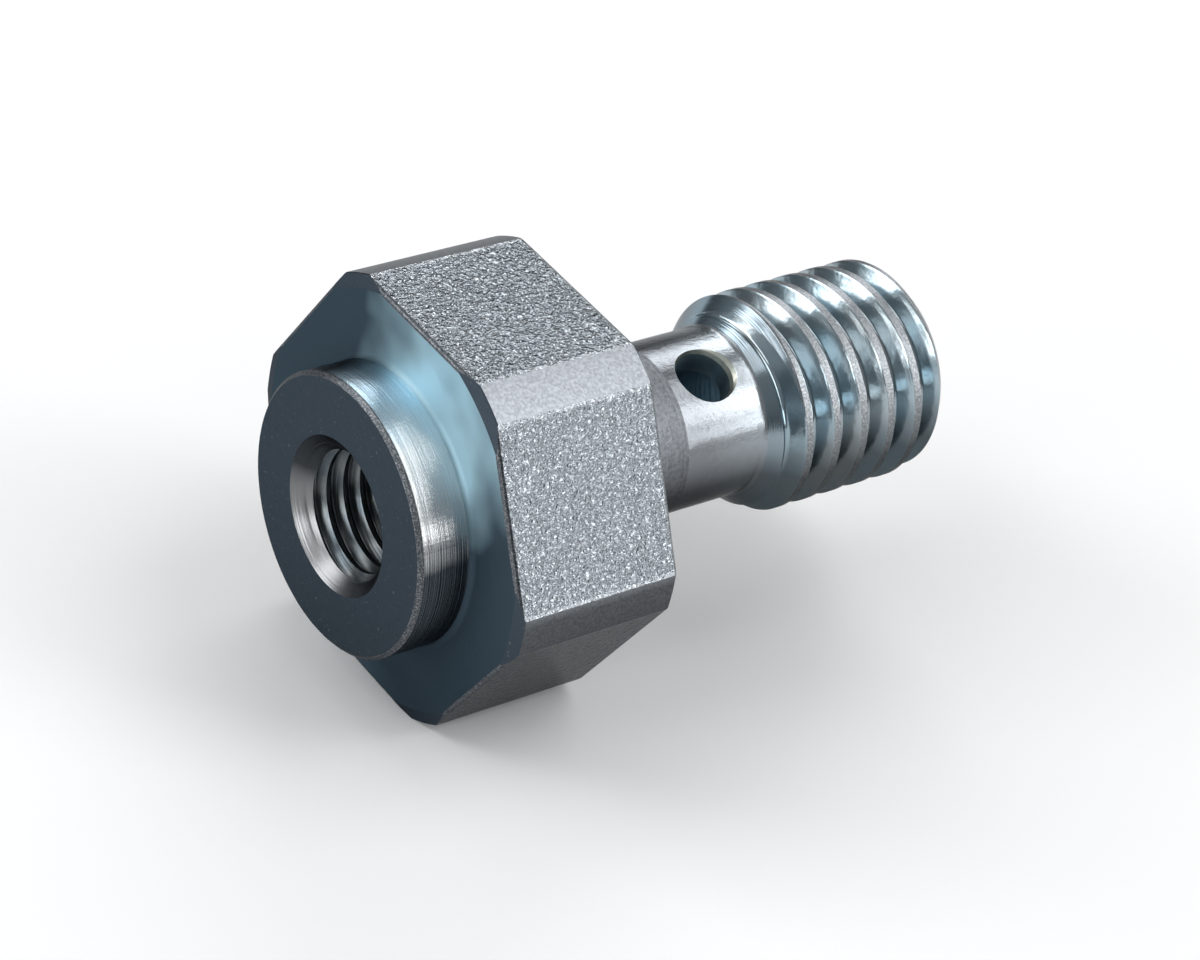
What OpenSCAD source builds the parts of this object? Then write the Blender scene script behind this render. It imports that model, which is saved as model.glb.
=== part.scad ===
// Breather screw: a hollow hexagon screw made from one steel forging.
// Its head carries a turned boss with a tapped port. Under the head comes a
// plain neck with a cross hole, then a shoulder and the screw thread. A bore
// runs from the port through the neck to the thread's end.
// The axis lies along X, with X = 0 on the seat under the head and the thread
// pointing along +X. One flat of the hexagon faces up. All sizes are in
// millimetres, all angles in degrees.

/* [Head] */
// Size across the flats of the hexagon
head_flats = 22.2; // [19:0.1:30]
// Height of the hexagon along the axis
head_height = 10; // [7:0.1:16]
// How much is turned off each corner, measured from the sharp corner
corner_cut = 0.6; // [0.2:0.05:1.2]
// Depth of the turned rim at the corners, on the boss side
front_rim = 0.25; // [0.1:0.05:0.8]
// Depth of the turned rim at the corners, on the seat side
seat_rim = 0.15; // [0.1:0.05:0.8]
// Slope of both rims against the end faces
rim_angle = 18; // [10:1:35]

/* [Boss] */
// Diameter of the round boss on the head
boss_diameter = 15.5; // [12:0.1:19]
// Height of the boss above the hexagon
boss_height = 3.25; // [2:0.05:8]
// Broken edge around the boss face
boss_edge = 0.25; // [0.1:0.05:0.6]
// Radius of the hollow corner where the boss meets the hexagon
boss_fillet = 0.35; // [0.1:0.05:0.8]

/* [Tapped port] */
// Outer diameter of the port's thread
port_thread = 7.94; // [6.5:0.01:9]
// Pitch of the port's thread
port_pitch = 1.058; // [0.75:0.001:1.25]
// Depth of the full thread below the boss face
port_depth = 11; // [6:0.5:12.5]
// Diameter of the countersunk mouth
port_mouth = 8.6; // [8:0.05:10]

/* [Neck] */
// Diameter of the plain neck
neck_diameter = 9.6; // [8.5:0.05:10.2]
// Distance from the seat to the end of the neck
neck_end = 11.6; // [11:0.1:16]
// Diameter of the flared root of the neck at the seat
root_diameter = 10.4; // [10.2:0.05:11.5]
// Length of the flared root, from the seat
root_length = 6.3; // [3:0.1:6.5]

/* [Cross hole] */
// Diameter of the hole drilled across the neck
cross_diameter = 3.2; // [2:0.1:3.8]
// Distance from the seat to the middle of the cross hole
cross_place = 8.9; // [8.7:0.05:9.2]
// Turn of the cross hole about the axis, from the upper flat to the front
cross_turn = 21; // [0:1:60]
// Width of the broken edge around the cross hole
cross_edge = 0.35; // [0.1:0.05:0.5]

/* [Screw thread] */
// Diameter over the crests
thread_diameter = 12.45; // [12:0.05:14]
// Pitch of the thread
thread_pitch = 1.954; // [1.25:0.001:2]
// Width of the crests, as a part of the pitch
crest_part = 0.25; // [0.125:0.005:0.3]
// Distance from the seat to the end of the screw
thread_end = 23.8; // [20:0.1:40]
// Slope of the shoulder between neck and thread
shoulder_angle = 40; // [30:1:60]
// Length of the chamfer at the end of the screw
tip_chamfer = 0.8; // [0.3:0.05:1.5]

/* [Passage] */
// Diameter of the bore along the axis
bore_diameter = 6; // [3:0.1:6.3]
// Broken edge at the bore's open end
bore_edge = 0.4; // [0.1:0.05:0.8]

/* [Hidden] */

steel = [0.68, 0.71, 0.74];
// Small overrun that keeps cuts clear of the faces they open
over = 0.5;
// Half the angle between the flanks of both threads
flank = 30;

corner_radius = head_flats / 2 / cos(30) - corner_cut;
boss_radius = boss_diameter / 2;
boss_face = -head_height - boss_height;
neck_radius = neck_diameter / 2;
bore_radius = bore_diameter / 2;
thread_radius = thread_diameter / 2;

// Screw thread: the groove goes down until its root is an eighth of the pitch
groove_depth = (thread_pitch * (1 - crest_part - 1 / 8)) / 2 / tan(flank);
shoulder_length = (thread_radius - neck_radius) / tan(shoulder_angle);
thread_start = neck_end + shoulder_length;
first_groove = thread_start + (1 + crest_part) * thread_pitch / 2;
groove_count = max(1, floor((thread_end - tip_chamfer - first_groove) / thread_pitch) + 1);

// Port thread: crests a quarter of the pitch wide, roots an eighth
port_outer = port_thread / 2;
port_groove = (port_pitch * 5 / 8) / 2 / tan(flank);
port_inner = port_outer - port_groove;
mouth_radius = max(port_mouth / 2, port_outer + 0.1);
mouth_depth = mouth_radius - port_inner;
port_grooves = floor((port_depth - mouth_depth) / port_pitch);
port_start = boss_face + mouth_depth + port_pitch / 4;
drill_tip = (port_inner - bore_radius) / tan(59);

// Profiles are drawn with the radius along X and the screw's axis along Y,
// then turned about the axis and laid along X.
module turned() {
    rotate([0, 90, 0]) rotate_extrude($fn = 96) children();
}

// One V groove with a flat root: depth is taken inwards from the radius
module groove(radius, depth, root) {
    slope = tan(flank);
    half = root / 2;
    polygon([[radius - depth, -half],
             [radius - depth, half],
             [radius + over, half + (depth + over) * slope],
             [radius + over, -half - (depth + over) * slope]]);
}

// The same groove cut outwards into the wall of a hole
module inner_groove(radius, depth, root) {
    slope = tan(flank);
    half = root / 2;
    polygon([[radius + depth, -half],
             [radius + depth, half],
             [radius - over, half + (depth + over) * slope],
             [radius - over, -half - (depth + over) * slope]]);
}

// Half section of boss, neck and shank, without their holes
module shank_section() {
    difference() {
        polygon([[0, boss_face],
                 [boss_radius - boss_edge, boss_face],
                 [boss_radius, boss_face + boss_edge],
                 [boss_radius, -head_height / 2],
                 [root_diameter / 2, -head_height / 2],
                 [root_diameter / 2, 0],
                 [neck_radius, root_length],
                 [neck_radius, neck_end],
                 [thread_radius, thread_start],
                 [thread_radius, thread_end - tip_chamfer],
                 [thread_radius - tip_chamfer, thread_end],
                 [0, thread_end]]);
        for (k = [0 : groove_count - 1])
            translate([0, first_groove + k * thread_pitch])
                groove(thread_radius, groove_depth, thread_pitch / 8);
    }
}

// The hollow corner of the boss, a ring of steel left by the turning tool
module boss_corner() {
    difference() {
        translate([boss_radius - over, -head_height - boss_fillet])
            square([over + boss_fillet, boss_fillet + over]);
        translate([boss_radius + boss_fillet, -head_height - boss_fillet])
            circle(r = boss_fillet, $fn = 48);
    }
}

// Half section of the round outline that the hexagon is turned to
module head_limit() {
    slope = tan(rim_angle);
    polygon([[0, -head_height],
             [corner_radius - front_rim / slope, -head_height],
             [corner_radius, -head_height + front_rim],
             [corner_radius, -seat_rim],
             [corner_radius - seat_rim / slope, 0],
             [0, 0]]);
}

module hexagon_head() {
    intersection() {
        translate([-head_height, 0, 0])
            rotate([0, 90, 0]) rotate([0, 0, 30])
                cylinder(h = head_height, r = head_flats / 2 / cos(30), $fn = 6);
        turned() head_limit();
    }
}

// Half section of the passage: countersunk mouth, tapped port, bore, open end
module passage_section() {
    port_end = boss_face + port_depth;
    union() {
        polygon([[0, boss_face - over],
                 [mouth_radius + over, boss_face - over],
                 [port_inner, boss_face + mouth_depth],
                 [port_inner, port_end],
                 [bore_radius, port_end + drill_tip],
                 [bore_radius, thread_end - bore_edge],
                 [bore_radius + bore_edge + over, thread_end + over],
                 [0, thread_end + over]]);
        for (k = [0 : port_grooves - 1])
            translate([0, port_start + (k + 0.25) * port_pitch])
                inner_groove(port_inner, port_groove, port_pitch / 8);
    }
}

// The cross hole goes right through the neck, with both its edges broken
module cross_hole() {
    radius = cross_diameter / 2;
    half = neck_radius + over;
    rim = radius + cross_edge;
    sink = cross_edge + radius * radius / neck_diameter;
    translate([cross_place, 0, 0]) rotate([cross_turn, 0, 0]) {
        translate([0, 0, -half]) cylinder(h = 2 * half, r = radius, $fn = 48);
        for (end = [0, 1]) mirror([0, 0, end])
            translate([0, 0, neck_radius - sink])
                cylinder(h = sink + over, r1 = rim - sink, r2 = rim + over, $fn = 48);
    }
}

module breather_screw() {
    color(steel)
        difference() {
            union() {
                turned() shank_section();
                hexagon_head();
                turned() boss_corner();
            }
            turned() passage_section();
            cross_hole();
        }
}

breather_screw();
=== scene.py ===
from math import cos, hypot, pi, radians, sin, tan

import bpy
from mathutils import Matrix, Vector


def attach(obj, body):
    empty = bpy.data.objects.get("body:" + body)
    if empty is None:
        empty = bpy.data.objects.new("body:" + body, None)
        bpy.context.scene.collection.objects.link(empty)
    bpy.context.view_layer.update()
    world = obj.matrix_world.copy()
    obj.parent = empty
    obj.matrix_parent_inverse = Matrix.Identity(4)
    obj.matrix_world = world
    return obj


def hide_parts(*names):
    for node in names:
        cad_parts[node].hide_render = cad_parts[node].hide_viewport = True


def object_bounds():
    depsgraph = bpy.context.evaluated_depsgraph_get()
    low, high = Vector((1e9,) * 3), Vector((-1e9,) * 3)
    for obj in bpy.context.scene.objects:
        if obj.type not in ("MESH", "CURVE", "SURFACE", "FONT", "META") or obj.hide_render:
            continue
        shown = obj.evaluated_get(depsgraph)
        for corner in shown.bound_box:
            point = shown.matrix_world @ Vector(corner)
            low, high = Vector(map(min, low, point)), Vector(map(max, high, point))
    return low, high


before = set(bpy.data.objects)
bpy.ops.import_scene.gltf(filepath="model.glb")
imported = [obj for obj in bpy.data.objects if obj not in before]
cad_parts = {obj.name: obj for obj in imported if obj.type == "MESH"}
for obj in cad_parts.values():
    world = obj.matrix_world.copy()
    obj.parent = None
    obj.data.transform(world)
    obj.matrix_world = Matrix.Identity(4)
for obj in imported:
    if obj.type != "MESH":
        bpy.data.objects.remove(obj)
solid_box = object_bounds()

# Camera: stands in front of the head's left end, looks down along the screw
# and is a little tilted, as in the photograph.
stand = (-0.10890, -0.12018, 0.11797)
sight = Vector((0.55417, 0.58706, -0.59013)).normalized()
roughly_up = Vector((0.23244, 0.57161, 0.78691))
side = sight.cross(roughly_up).normalized()
over = side.cross(sight)
turn = Matrix((side, over, -sight)).transposed()
bpy.ops.object.select_all(action="DESELECT")
bpy.ops.object.camera_add(location=stand, rotation=turn.to_euler())
camera = bpy.context.object
camera.data.sensor_fit = "HORIZONTAL"
camera.data.sensor_width = 36.0
camera.data.lens = 111.83
camera.data.clip_start = 0.01
bpy.context.scene.camera = camera
bpy.context.scene.view_settings.view_transform = "Standard"

# Studio: a plain white table that the screw lies on, under wide soft boxes that
# light it from all round and show in its plating.
mm = 0.001
table_size = 1.2
floor_level = solid_box[0][2]
bpy.ops.object.select_all(action="DESELECT")
bpy.ops.mesh.primitive_plane_add(size=table_size, location=(0, 0, floor_level))
table = bpy.context.object
table.name = "table"
white = bpy.data.materials.new("white_table")
white.use_nodes = True
paint = white.node_tree.nodes["Principled BSDF"]
paint.inputs["Base Color"].default_value = (0.93, 0.93, 0.93, 1)
paint.inputs["Roughness"].default_value = 0.9
paint.inputs["Specular IOR Level"].default_value = 0.1
table.data.materials.append(white)

lit_spot = Vector((5 * mm, 0, 0))


def soft_box(name, compass, height, away, size, glow):
    """A lamp at that compass direction and height in degrees, facing the screw."""
    place = Vector((cos(radians(compass)) * cos(radians(height)),
                    sin(radians(compass)) * cos(radians(height)), sin(radians(height))))
    bpy.ops.object.light_add(type="AREA", location=lit_spot + place * away,
                             rotation=place.to_track_quat("Z", "Y").to_euler())
    lamp = bpy.context.object
    lamp.name = name
    lamp.data.shape = "RECTANGLE"
    lamp.data.size, lamp.data.size_y = size
    lamp.data.energy = glow * size[0] * size[1] * pi


soft_box("lamp_ceiling", compass=-28, height=62, away=0.60, size=(0.42, 0.30), glow=2.1)
soft_box("lamp_key", compass=105, height=52, away=0.60, size=(0.26, 0.26), glow=1.2)
soft_box("lamp_back", compass=49, height=35, away=0.60, size=(0.36, 0.20), glow=3.9)
soft_box("lamp_front_right", compass=-44, height=34, away=0.55, size=(0.20, 0.28), glow=4.0)
soft_box("lamp_right", compass=-59, height=12, away=0.60, size=(0.40, 0.12), glow=3.3)
soft_box("lamp_left", compass=138, height=30, away=0.55, size=(0.30, 0.24), glow=4.4)
soft_box("lamp_far_left", compass=-178, height=11, away=0.45, size=(0.30, 0.13), glow=5.5)
soft_box("lamp_front_left", compass=172, height=50, away=0.55, size=(0.32, 0.16), glow=2.4)
soft_box("lamp_end", compass=10, height=18, away=0.60, size=(0.36, 0.20), glow=1.2)


def add(tree, kind, inputs, **settings):
    """A node with its settings, each input a number, a colour or another node's output."""
    node = tree.nodes.new(kind)
    for key, value in settings.items():
        setattr(node, key, value)
    for key, value in inputs.items():
        if isinstance(value, bpy.types.NodeSocket):
            tree.links.new(value, node.inputs[key])
        else:
            node.inputs[key].default_value = value
    return node


def spread(tree, value, low, high, to_low=0.0, to_high=1.0):
    """Maps the range from low to high onto that from to_low to to_high, and stops at its ends."""
    return add(tree, "ShaderNodeMapRange", {"Value": value, "From Min": low, "From Max": high,
                                            "To Min": to_low, "To Max": to_high}).outputs["Result"]


# The walls of the studio are darker than its ceiling.
wall_top, ceiling_from = 0.08, 0.40
wall_glow, ceiling_glow = 0.11, 0.27
studio = bpy.data.worlds.new("studio")
bpy.context.scene.world = studio
studio.use_nodes = True
tent = studio.node_tree
direction = add(tent, "ShaderNodeTexCoord", {}).outputs["Generated"]
upward = add(tent, "ShaderNodeSeparateXYZ", {"Vector": direction}).outputs["Z"]
tent.links.new(spread(tent, upward, wall_top, ceiling_from, wall_glow, ceiling_glow),
               tent.nodes["Background"].inputs["Strength"])
tent.nodes["Background"].inputs["Color"].default_value = (0.97, 1.0, 1.03, 1)

# Turned body: boss, head, neck, shoulder and shank are one steel forging, turned all
# round and bored along its axis. Its outline is followed ring by ring, in millimetres.
facets_around = 192
boss_face, head_front, seat, screw_end = -13.25, -10.0, 0, 23.8
across_flats = 22.2
corner_cut = 0.6
corner_radius = across_flats / 2 / cos(radians(30)) - corner_cut
corner_from, corner_to, corner_break = -9.72, -0.17, 0.03
boss_radius = 7.75
boss_edge, edge_round, boss_fillet = 0.27, 0.10, 0.35
mouth_radius, mouth_round, mouth_depth = 4.39, 0.06, 0.903
root_radius, root_fillet, root_end = 5.2, 0.3, 6.3
neck_radius, neck_fillet = 4.8, 0.6
thread_radius = 6.225
shoulder_angle = 40
shoulder_from = 11.6
shoulder_to = shoulder_from + (thread_radius - neck_radius) / tan(radians(shoulder_angle))
bore_radius, bore_edge = 3.0, 0.4
port_radius, port_bottom = 3.397, -2.25
merge_gap = 0.001 * mm


def arc(x, r, radius, start, end, steps):
    """Points on a rounded corner about (x, r), angles in degrees from +X towards +R."""
    angles = [radians(start + (end - start) * k / steps) for k in range(steps + 1)]
    return [(x + radius * cos(angle), r + radius * sin(angle)) for angle in angles]


# Boss, from the port's mouth to the hollow corner at its foot
outline = arc(boss_face + mouth_round, mouth_radius, mouth_round, 225, 180, 2)
outline += [(boss_face, 5.2), (boss_face, 6.3)]
outline += arc(boss_face + edge_round, boss_radius - boss_edge, edge_round, 180, 142, 2)
outline += arc(boss_face + boss_edge, boss_radius - edge_round, edge_round, 128, 90, 2)
outline += [(-12.2, boss_radius), (-11.2, boss_radius)]
outline += arc(head_front - boss_fillet, boss_radius + boss_fillet, boss_fillet, 270, 360, 6)
# Head, with a shallow turned rim at each end of its corners
outline += [(head_front, 9.2), (head_front, 10.4), (head_front, 11.40), (head_front + 0.004, 11.47)]
outline += [(-9.77, corner_radius - corner_break)]
outline += [(x, corner_radius) for x in (corner_from, -7.0, -4.0, corner_to)]
outline += [(-0.13, corner_radius - corner_break), (-0.003, 11.80), (seat, 11.72), (seat, 9.5), (seat, 7.5)]
# Neck, flared towards the seat, and the shoulder
outline += arc(root_fillet, root_radius + 0.28, root_fillet, 180, 266, 5)
outline += [(3.0, 5.01), (6.1, neck_radius + 0.014), (root_end, neck_radius), (8.9, neck_radius)]
outline += arc(shoulder_from - 0.22, neck_radius + neck_fillet, neck_fillet, 270, 310, 5)
outline += [(shoulder_to - 0.05, thread_radius - 0.04), (shoulder_to + 0.05, thread_radius)]
# Shank and its chamfered end
outline += [(x, thread_radius) for x in (15.0, 17.0, 19.0, 21.0, 22.95)]
outline += [(23.05, thread_radius - 0.05), (screw_end - 0.06, 5.50), (screw_end, 5.42), (screw_end, 4.4)]
# Bore, and the port with its countersunk mouth
outline += [(screw_end, 3.45), (screw_end - 0.06, 3.36), (screw_end - bore_edge, bore_radius)]
outline += [(x, bore_radius) for x in (18.0, 12.0, 8.9, 4.0, -2.011)]
outline += [(x, port_radius) for x in (port_bottom, -6.0, -9.0, boss_face + mouth_depth)]

bpy.ops.object.select_all(action="DESELECT")
start_x, start_r = outline[0]
bpy.ops.mesh.primitive_circle_add(vertices=facets_around, radius=start_r * mm,
                                  location=(start_x * mm, 0, 0), rotation=(0, pi / 2, 0))
screw = bpy.context.object
screw.name = "screw"
bpy.ops.object.transform_apply(location=True, rotation=True, scale=True)
bpy.ops.object.mode_set(mode="EDIT")
bpy.ops.mesh.select_all(action="SELECT")


def extrude_rings(stations):
    """Extrudes the selected ring along the axis, through each further (place, radius)."""
    for (last_x, last_r), (x, r) in zip(stations, stations[1:]):
        bpy.ops.mesh.extrude_region_move(TRANSFORM_OT_translate={"value": ((x - last_x) * mm, 0, 0)})
        bpy.ops.transform.resize(value=(1, r / last_r, r / last_r), center_override=(x * mm, 0, 0))


extrude_rings(outline + outline[:1])
bpy.ops.mesh.select_all(action="SELECT")
bpy.ops.mesh.remove_doubles(threshold=merge_gap)
bpy.ops.mesh.normals_make_consistent(inside=False)
bpy.ops.object.mode_set(mode="OBJECT")


def cut(body, tool, way="DIFFERENCE"):
    """Takes the tool's shape away from the body, or keeps what lies inside it."""
    bpy.ops.object.select_all(action="DESELECT")
    bpy.context.view_layer.objects.active = body
    saw = body.modifiers.new("cut", "BOOLEAN")
    saw.operation = way
    saw.solver = "EXACT"
    saw.object = tool
    bpy.ops.object.modifier_apply(modifier="cut")
    tool.select_set(True)
    bpy.ops.object.delete()


# Hexagon: six flats forged on the head, which the turning tool leaves alone, so the
# turned rims end against them in curved borders. The flats' ends are slightly rounded.
flat_radius = across_flats / 2
borders = [(-20, 10.87), (head_front, 10.87), (-9.965, 10.97), (-9.90, 11.05), (-9.78, flat_radius),
           (-0.22, flat_radius), (-0.09, 11.05), (-0.03, 10.98), (seat, 10.90), (30, 10.90)]
blank_x, blank_r = borders[0]
bpy.ops.object.select_all(action="DESELECT")
bpy.ops.mesh.primitive_circle_add(vertices=6, radius=blank_r * mm / cos(radians(30)), fill_type="NGON",
                                  location=(blank_x * mm, 0, 0), rotation=(0, pi / 2, 0))
blank = bpy.context.object
bpy.ops.object.transform_apply(location=True, rotation=True, scale=True)
bpy.ops.object.mode_set(mode="EDIT")
bpy.ops.mesh.select_all(action="SELECT")
extrude_rings(borders)
bpy.ops.mesh.select_all(action="SELECT")
bpy.ops.mesh.normals_make_consistent(inside=False)
bpy.ops.object.mode_set(mode="OBJECT")
cut(screw, blank, "INTERSECT")

# Screw thread: a V groove cut along a right-hand helix. It runs out on the shoulder,
# where it leaves a thin line before the first full crest.
thread_pitch = 1.954
crest_place = 13.23
groove_root = 5.167
flank_lean = tan(radians(30))


def helical_groove(name, half, start, pitch, turns, steps):
    """A closed cutter with that half outline of (width, radius), carried along a helix about X."""
    ring = [(-w, r) for w, r in half] + [(w, r) for w, r in reversed(half)]
    bpy.ops.object.select_all(action="DESELECT")
    bpy.ops.mesh.primitive_circle_add(vertices=len(ring), radius=1)
    tool = bpy.context.object
    tool.name = name
    for corner, (w, r) in zip(tool.data.vertices, ring):
        corner.co = ((start + w) * mm, 0, r * mm)
    wind = tool.modifiers.new("wind", "SCREW")
    wind.axis = "X"
    wind.angle = 2 * pi
    wind.screw_offset = pitch * mm
    wind.iterations = turns
    wind.steps = steps
    wind.render_steps = steps
    bpy.ops.object.modifier_apply(modifier="wind")
    bpy.ops.object.mode_set(mode="EDIT")
    bpy.ops.mesh.select_all(action="SELECT")
    bpy.ops.mesh.remove_doubles(threshold=merge_gap)
    bpy.ops.mesh.fill_holes(sides=0)
    bpy.ops.mesh.normals_make_consistent(inside=False)
    bpy.ops.object.mode_set(mode="OBJECT")
    return tool


# Half of the groove's outline, from above its crest down to its rounded root
groove = [(0.78, 6.56), (0.765, thread_radius + 0.02), (0.732, thread_radius - 0.015)]
groove += [(0.122 + (6.10 - groove_root) * flank_lean, 6.10), (0.245, groove_root + 0.213)]
groove += [(0.205, groove_root + 0.15), (0.15, groove_root + 0.09), (0.075, groove_root + 0.05)]
groove_start = crest_place + thread_pitch / 2 - 2 * thread_pitch
cut(screw, helical_groove("groove", groove, groove_start, thread_pitch, turns=8, steps=144))

# Port: the same kind of thread, but finer, tapped into the wall of the hole in the
# boss. It starts below the countersunk mouth.
port_pitch = 1.058
port_crest_place = -11.171
port_root = 3.97
inner = [(0.425, 3.20), (0.425, 3.38), (0.385, 3.43), (0.10, port_root - 0.04), (0.04, port_root)]
inner_start = port_crest_place - port_pitch / 2 - 2 * port_pitch
cut(screw, helical_groove("port_groove", inner, inner_start, port_pitch, turns=11, steps=96))

# Cross hole: drilled right through the neck and the bore in it, a little turned from
# the upper flat towards the front, with both its edges broken.
hole_place = 8.9
hole_turn = -20.6
hole_radius = 1.6
edge = [(3.9, hole_radius), (4.2, 1.63), (4.5, 1.72), (4.75, 1.86), (5.0, 2.05), (7.0, 2.6)]
stations = [(-z, r) for z, r in reversed(edge)] + edge
drill_z, drill_r = stations[0]
bpy.ops.object.select_all(action="DESELECT")
bpy.ops.mesh.primitive_circle_add(vertices=96, radius=drill_r * mm, fill_type="NGON",
                                  location=(0, 0, drill_z * mm))
drill = bpy.context.object
bpy.ops.object.transform_apply(location=True, rotation=True, scale=True)
bpy.ops.object.mode_set(mode="EDIT")
bpy.ops.mesh.select_all(action="SELECT")
for (last_z, last_r), (z, r) in zip(stations, stations[1:]):
    bpy.ops.mesh.extrude_region_move(TRANSFORM_OT_translate={"value": (0, 0, (z - last_z) * mm)})
    bpy.ops.transform.resize(value=(r / last_r, r / last_r, 1), center_override=(0, 0, z * mm))
bpy.ops.mesh.select_all(action="SELECT")
bpy.ops.mesh.normals_make_consistent(inside=False)
bpy.ops.object.mode_set(mode="OBJECT")
drill.rotation_euler = (-radians(hole_turn), 0, 0)
drill.location = (hole_place * mm, 0, 0)
bpy.ops.object.transform_apply(location=True, rotation=True, scale=True)
cut(screw, drill)

# Zinc plating: a thin bright coat with a blue tint, laid over the whole screw in a bath.
# How it looks depends on the skin under it, which is forged, turned, tapped or worn,
# and each kind of skin is a finish of its own. Several finishes are painted darker on the
# underside, down to this share of their colour: painted shade.
painted_shade_share = 0.32


def calc(tree, operation, a, b=0.0):
    """One step of arithmetic, such as ADD or MULTIPLY, with two values."""
    return add(tree, "ShaderNodeMath", {0: a, 1: b}, operation=operation).outputs[0]


def mixed(tree, factor, first, second):
    """A colour between two, each of them red, green and blue or another node's output."""
    ends = [end + (1,) if isinstance(end, tuple) else end for end in (first, second)]
    return add(tree, "ShaderNodeMix", {0: factor, 6: ends[0], 7: ends[1]}, data_type="RGBA").outputs[2]


def grain(tree, where, scale, detail=2.0, rough=0.5, bent=0.0):
    """Clouds of that many per millimetre."""
    return add(tree, "ShaderNodeTexNoise", {"Vector": where, "Scale": scale / mm, "Detail": detail,
                                            "Roughness": rough, "Distortion": bent}).outputs["Fac"]


def mottle(tree, where, scale):
    """Soft clouds that run from 0 to 1."""
    return spread(tree, grain(tree, where, scale), 0.35, 0.65)


def from_axis(tree, where):
    """The three coordinates of a spot and its distance from the screw's axis."""
    spot = add(tree, "ShaderNodeSeparateXYZ", {"Vector": where}).outputs
    squares = [calc(tree, "MULTIPLY", spot[k], spot[k]) for k in (1, 2)]
    return spot, calc(tree, "SQRT", calc(tree, "ADD", *squares))


def rings(tree, where, scale, detail=2.0):
    """Tool marks that run round the axis: noise along the outline only."""
    outward_step = 1.37
    spot, reach = from_axis(tree, where)
    path = calc(tree, "ADD", spot[0], calc(tree, "MULTIPLY", reach, outward_step))
    return add(tree, "ShaderNodeTexNoise", {"W": path, "Scale": scale / mm, "Detail": detail},
               noise_dimensions="1D").outputs["Fac"]


def painted_light_side(tree, where, turn, low, high):
    """A cloudy mask for painted light and shade: 1 on the side at that turn about the axis, from the top to
    the front.
    """
    cloud_scale, cloud_depth, foot_gain = 0.4, 0.30, 0.14
    spot, reach = from_axis(tree, where)
    up = calc(tree, "MULTIPLY", spot[2], cos(radians(turn)))
    across = calc(tree, "MULTIPLY", spot[1], sin(radians(turn)))
    toward = calc(tree, "DIVIDE", calc(tree, "SUBTRACT", up, across), reach)
    # The mask rises towards the boss, for more painted reflection near its foot.
    toward = calc(tree, "ADD", toward, spread(tree, reach, 8.2 * mm, 10 * mm, foot_gain, 0.0))
    cloud = calc(tree, "MULTIPLY", grain(tree, where, cloud_scale, 1.0), cloud_depth)
    return spread(tree, calc(tree, "ADD", toward, cloud), low, high)


def new_finish(name, roughness, lay=0.0):
    """A plated finish. Where the tool left a lay, light spreads across its marks."""
    edge_tint, quarter_turn = 0.45, 0.25
    finish = bpy.data.materials.new(name)
    finish.use_nodes = True
    tree = finish.node_tree
    shader = tree.nodes["Principled BSDF"]
    shader.inputs["Metallic"].default_value = 1.0
    shader.inputs["Roughness"].default_value = roughness
    shader.inputs["Specular Tint"].default_value = (edge_tint, edge_tint, edge_tint, 1)
    if lay:
        shader.inputs["Anisotropic"].default_value = lay
        shader.inputs["Anisotropic Rotation"].default_value = quarter_turn
        round_axis = add(tree, "ShaderNodeTangent", {}, direction_type="RADIAL", axis="X")
        tree.links.new(round_axis.outputs["Tangent"], shader.inputs["Tangent"])
    where = add(tree, "ShaderNodeTexCoord", {}).outputs["Object"]
    return finish, tree, shader, where


def colour(tree, shader, factor, first, second, shade_share=1.0, shade_heights=(-1.0, 2.2)):
    """Base colour between two. Over that range of heights it darkens downwards to that share of itself, as
    painted shade on the underside.
    """
    base = mixed(tree, factor, first, second)
    # Painted shade: darker copies of both colours on the lower side of the screw.
    if shade_share < 1:
        where = add(tree, "ShaderNodeTexCoord", {}).outputs["Object"]
        height = add(tree, "ShaderNodeSeparateXYZ", {"Vector": where}).outputs[2]
        shaded_first, shaded_second = [tuple(shade_share * c for c in end) for end in (first, second)]
        shaded = mixed(tree, factor, shaded_first, shaded_second)
        base = mixed(tree, spread(tree, height, shade_heights[0] * mm, shade_heights[1] * mm), shaded, base)
    tree.links.new(base, shader.inputs["Base Color"])


def press(tree, shader, height, depth):
    """Bump of that depth in millimetres."""
    bump = add(tree, "ShaderNodeBump", {"Height": height, "Distance": depth * mm})
    tree.links.new(bump.outputs["Normal"], shader.inputs["Normal"])


# Forged skin of the flats, a fine peel with painted shade in its creases, long edges worn bright and painted
# as an edge highlight, and painted shade on the lower flats
worn_glint_from, worn_glint_to = 12.17, 12.22
crease_level = 0.47
forged, tree, shader, where = new_finish("zinc_forged", 0.13)
peel = grain(tree, where, 4.1, 2.0, 0.5, 0.4)
# Painted shade: the creases of the peel are darkened; the long edges get a painted highlight on their wear.
shaded_creases = calc(tree, "ABSOLUTE", calc(tree, "SUBTRACT", peel, crease_level))
ragged = calc(tree, "MULTIPLY", grain(tree, where, 2.5, 4.0, 0.7), 0.12 * mm)
reach = calc(tree, "ADD", from_axis(tree, where)[1], ragged)
light = calc(tree, "ADD", spread(tree, shaded_creases, 0.005, 0.06, 0.0, 0.62),
             spread(tree, reach, worn_glint_from * mm, worn_glint_to * mm, 0.0, 0.7))
colour(tree, shader, light, (0.20, 0.225, 0.25), (0.605, 0.65, 0.69), painted_shade_share, (-0.6, 0.6))
press(tree, shader, peel, 0.25)

# Corners of the hexagon, turned down to smooth strips, with painted shade on the lower ones
smoothed, tree, shader, where = new_finish("zinc_corner", 0.34)
peel = grain(tree, where, 6.0, 2.5, 0.5)
colour(tree, shader, spread(tree, peel, 0.35, 0.65), (0.25, 0.265, 0.285), (0.36, 0.38, 0.41),
       painted_shade_share, (0.6, 2.0))
press(tree, shader, peel, 0.016)

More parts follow.
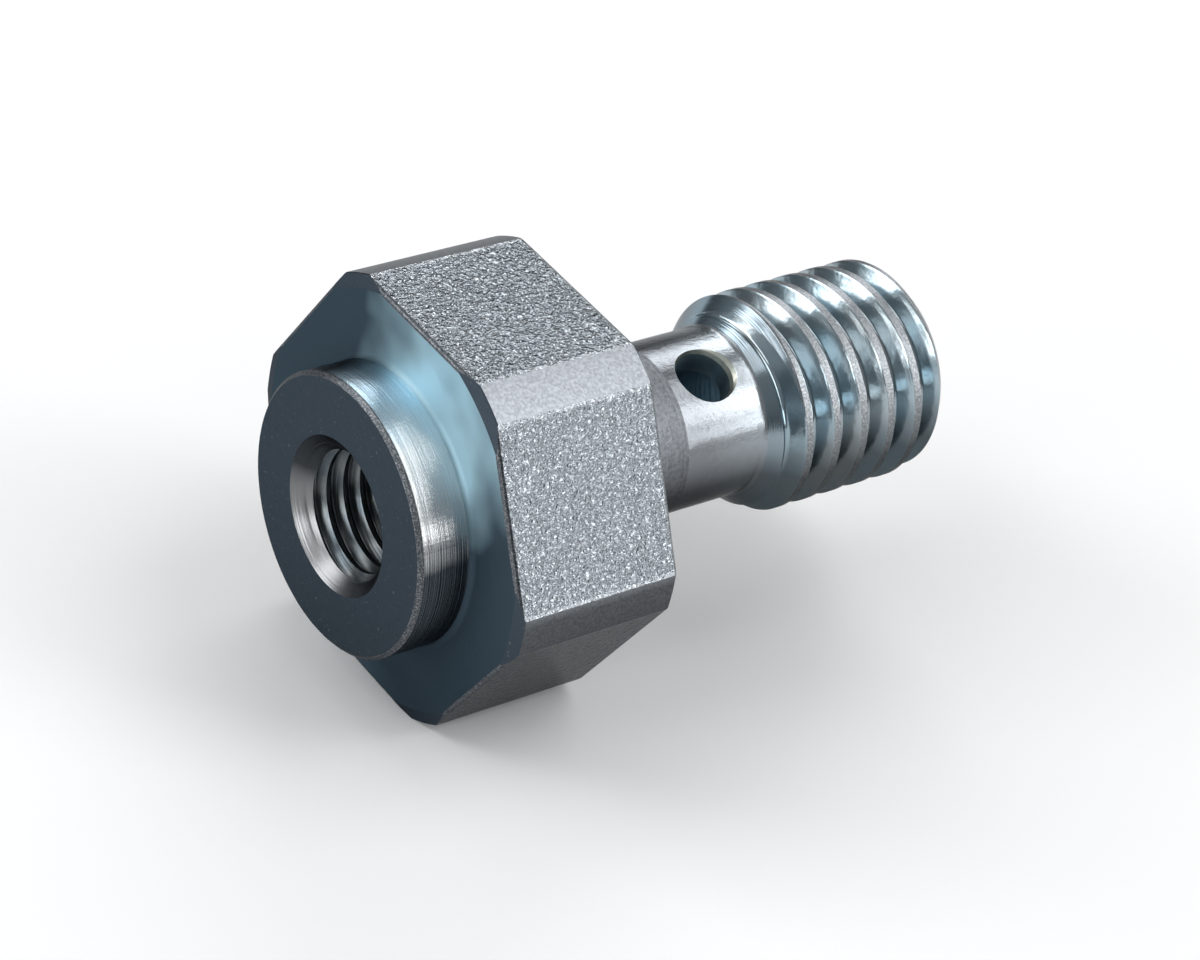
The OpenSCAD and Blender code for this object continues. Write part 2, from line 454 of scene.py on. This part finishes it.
# Turned steel with no more than faint tool marks, with painted shade on its underside
turned, tree, shader, where = new_finish("zinc_turned", 0.20, 0.6)
colour(tree, shader, mottle(tree, where, 0.16), (0.36, 0.40, 0.43), (0.30, 0.39, 0.45), painted_shade_share)
press(tree, shader, rings(tree, where, 7.0), 0.016)

# Flared root of the neck, matt and scuffed, with painted shade on its underside
matt, tree, shader, where = new_finish("zinc_matt", 0.40)
scuff = calc(tree, "ADD", grain(tree, where, 4.0, 4.0, 0.7),
             calc(tree, "MULTIPLY", rings(tree, where, 9.0), 0.35))
colour(tree, shader, spread(tree, scuff, 0.50, 0.85), (0.15, 0.16, 0.175), (0.27, 0.285, 0.305), painted_shade_share)
press(tree, shader, scuff, 0.05)

# Side of the neck, a little pitted, brighter towards the shoulder, and with painted shade on its underside
neck_side, tree, shader, where = new_finish("zinc_neck", 0.24, 0.4)
pits = grain(tree, where, 2.2, 4.0, 0.7)
along = add(tree, "ShaderNodeSeparateXYZ", {"Vector": where}).outputs[0]
hue = calc(tree, "ADD", along, calc(tree, "MULTIPLY", pits, 3 * mm))
colour(tree, shader, spread(tree, hue, 9 * mm, 13.2 * mm), (0.25, 0.265, 0.285), (0.40, 0.44, 0.47),
       painted_shade_share)
press(tree, shader, pits, 0.03)

# Faced ends, with small light specks; their dark base is painted shade
faced, tree, shader, where = new_finish("zinc_faced", 0.34)
hue = calc(tree, "MULTIPLY", grain(tree, where, 2.5, 4.0, 0.7), 0.16)
specks = spread(tree, grain(tree, where, 6.0), 0.68, 0.76)
colour(tree, shader, calc(tree, "ADD", hue, specks), (0.042, 0.058, 0.076), (0.16, 0.175, 0.19))
press(tree, shader, grain(tree, where, 9.0), 0.006)

# Front face of the hexagon, swept by the tool, dark all over as painted shade, with a painted blue highlight
# in a cloudy patch towards its top
swept, tree, shader, where = new_finish("zinc_swept", 0.50, 0.87)
colour(tree, shader, painted_light_side(tree, where, 20, 0.86, 1.20), (0.058, 0.088, 0.115), (0.32, 0.49, 0.57))
press(tree, shader, rings(tree, where, 5.0), 0.008)

# Side of the boss, with fine tool marks: a painted blue reflection at its top, a painted highlight towards
# the front, and painted shade elsewhere
boss_side, tree, shader, where = new_finish("zinc_boss", 0.25, 0.5)
painted_sheen = mixed(tree, painted_light_side(tree, where, 64, 0.82, 1.12), (0.68, 0.86, 0.97), (0.80, 0.815, 0.82))
colour(tree, shader, painted_light_side(tree, where, 24, 0.84, 1.06), (0.075, 0.090, 0.105), painted_sheen)
press(tree, shader, rings(tree, where, 9.0, 4.0), 0.032)

# Flanks of the screw thread, with painted shade on their underside
threaded, tree, shader, where = new_finish("zinc_threaded", 0.18, 0.3)
colour(tree, shader, mottle(tree, where, 0.2), (0.43, 0.48, 0.505), (0.35, 0.46, 0.52), painted_shade_share)
press(tree, shader, grain(tree, where, 1.2), 0.02)

# Crests and rims, rubbed and speckled, with painted shade on their underside
worn, tree, shader, where = new_finish("zinc_worn", 0.34)
specks = grain(tree, where, 10.0, 2.0, 0.6)
colour(tree, shader, spread(tree, specks, 0.42, 0.68), (0.20, 0.22, 0.235), (0.46, 0.48, 0.50), painted_shade_share)
press(tree, shader, specks, 0.02)

# Edges of the boss and of the hexagon's front face, with light specks; their dark base is painted shade, as
# on the faced ends
rim, tree, shader, where = new_finish("zinc_rim", 0.36)
specks = grain(tree, where, 11.0, 2.0, 0.6)
colour(tree, shader, spread(tree, specks, 0.46, 0.70), (0.065, 0.075, 0.085), (0.26, 0.265, 0.275))
press(tree, shader, specks, 0.02)

# Countersunk mouth of the port, with a painted highlight at its lower side and painted shade elsewhere
sunk, tree, shader, where = new_finish("zinc_sunk", 0.32)
colour(tree, shader, painted_light_side(tree, where, 212, 0.72, 1.26), (0.045, 0.050, 0.056), (0.26, 0.265, 0.27))
press(tree, shader, rings(tree, where, 6.0, 4.0), 0.05)

# Broken edge of the cross hole, yellowish and painted bright as a highlight
flared, tree, shader, where = new_finish("zinc_flared", 0.34)
colour(tree, shader, mottle(tree, where, 2.0), (0.66, 0.66, 0.58), (0.82, 0.82, 0.74))
press(tree, shader, grain(tree, where, 6.0), 0.01)

# Wall and thread of the port, dark as painted shade inside the hole
bored, tree, shader, where = new_finish("zinc_bored", 0.30, 0.5)
colour(tree, shader, mottle(tree, where, 1.0), (0.10, 0.12, 0.135), (0.17, 0.185, 0.19))
press(tree, shader, rings(tree, where, 8.0), 0.010)

# Walls of the bore and of the cross hole
drilled, tree, shader, where = new_finish("zinc_drilled", 0.45)
colour(tree, shader, mottle(tree, where, 1.0), (0.25, 0.35, 0.42), (0.32, 0.42, 0.47))
press(tree, shader, rings(tree, where, 4.0), 0.020)

# Each facet takes the finish of the spot where it lies. Places and radii are those of the
# outline above, with a little slack to the next corner.
hole_axis = Vector((0, sin(radians(hole_turn)), cos(radians(hole_turn))))
hole_centre = Vector((hole_place * mm, 0, 0))
corner_reach, rim_reach, rim_edge = 12.1, 10.8, 11.5
shoulder_slope = -sin(radians(shoulder_angle))
end_face = 0.97
shank_from, shank_middle = shoulder_from + 0.35, 20


def finish_of(face):
    """The finish of a facet, by its place, its radius and the way its normal points."""
    x, r = face.center.x / mm, hypot(face.center.y, face.center.z) / mm
    along = face.normal.x
    outward = (face.normal.y * face.center.y + face.normal.z * face.center.z) / (r * mm)
    off_flat = abs(face.center.dot(face.normal) / mm - flat_radius)
    off = face.center - hole_centre
    from_hole = (off - hole_axis * off.dot(hole_axis)).length / mm
    by_hole = from_hole < hole_radius + 0.5 and outward > -0.9
    on_shoulder = abs(along - shoulder_slope) < 0.06 and x < shoulder_to

    # Hexagon: its flats, its turned corners and the rims at its ends
    if off_flat < 0.004 and abs(along) < 0.02:
        return forged
    if r > corner_reach and corner_from < x < corner_to + 0.01:
        return smoothed
    if r > rim_reach and abs(along) < 0.985 and x > corner_to - 0.07:
        return worn
    if r > rim_reach and abs(along) < 0.985 and x < corner_from + 0.02:
        return rim if r < rim_edge else faced
    # Cross hole, port and bore
    if by_hole and from_hole < hole_radius + 0.02 and r < neck_radius - 0.1:
        return drilled
    if by_hole and neck_radius - 0.6 < r < neck_radius - 0.02:
        return flared
    if outward < -0.2 and x < boss_face + 1.05 and r < mouth_radius + 0.06:
        return sunk
    if outward < -0.2:
        return drilled if x > port_bottom + 0.45 else bored
    # Front face of the hexagon, and the neck
    if along < -0.9 and abs(x - head_front) < 0.1:
        return swept
    if root_fillet < x < root_end and r < root_radius + 0.4:
        return matt
    if root_end < x < shoulder_from + 0.1 and r < neck_radius + 0.1:
        return neck_side
    # Boss: its foot, its side, its face and its edges
    if head_front - 0.45 < x < head_front and boss_radius + 0.01 < r < boss_radius + 0.45:
        return swept
    if boss_face + 0.30 < x < head_front and r > boss_radius - 0.15 and along > -0.5:
        return boss_side
    if along < -end_face or (along > end_face and x > shank_middle):
        return faced
    if x < boss_face + 0.30 and (r > boss_radius - 0.35 or r < mouth_radius + 0.06):
        return rim
    # Shank: its crests and its thread
    if x > shank_from and r > thread_radius - 0.03:
        return worn
    if x > shank_from and not on_shoulder:
        return threaded
    return turned


screw.data.materials.clear()
finishes = [turned, forged, smoothed, faced, swept, threaded, worn, bored, matt, boss_side,
            rim, flared, neck_side, sunk, drilled]
for finish in finishes:
    screw.data.materials.append(finish)
for face in screw.data.polygons:
    face.material_index = finishes.index(finish_of(face))

smooth_angle = 34
bpy.ops.object.shade_smooth_by_angle(angle=radians(smooth_angle))
even = screw.modifiers.new("even", "WEIGHTED_NORMAL")
even.keep_sharp = True
bpy.ops.object.modifier_apply(modifier="even")
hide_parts("breather_screw")
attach(screw, "root")
